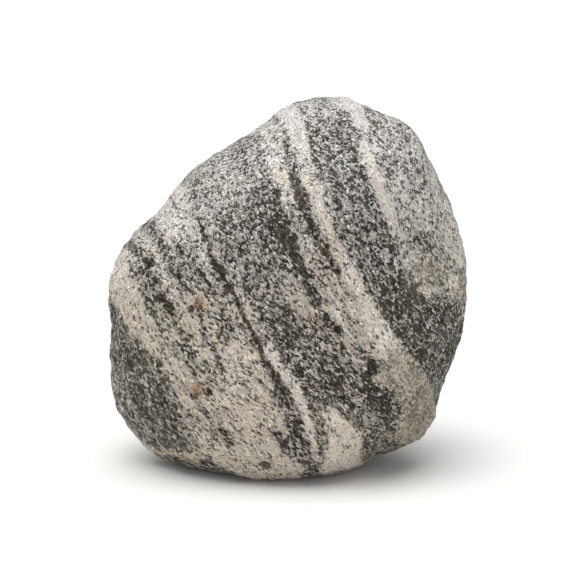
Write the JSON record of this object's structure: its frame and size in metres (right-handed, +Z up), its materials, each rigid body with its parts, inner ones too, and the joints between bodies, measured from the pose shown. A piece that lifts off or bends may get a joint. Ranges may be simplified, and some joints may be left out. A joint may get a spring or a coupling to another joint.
{
  "type": "seiryu stone",
  "caption": "Water-worn cobble of banded grey gneiss with pale quartz veins, for an aquascape or a rock garden. It stands on its worn base.",
  "frame": {"origin": "in the resting plane, under the middle of the stone's box", "axes": "+Z up through the stone's tallest extent; -Y out of its broad front face; +X to the right of that face"},
  "size_m": [0.153, 0.1138, 0.159],
  "materials": {
    "gneiss": "matte"
  },
  "bodies": {
    "root": {"stone": "gneiss"}
  },
  "joints": []
}
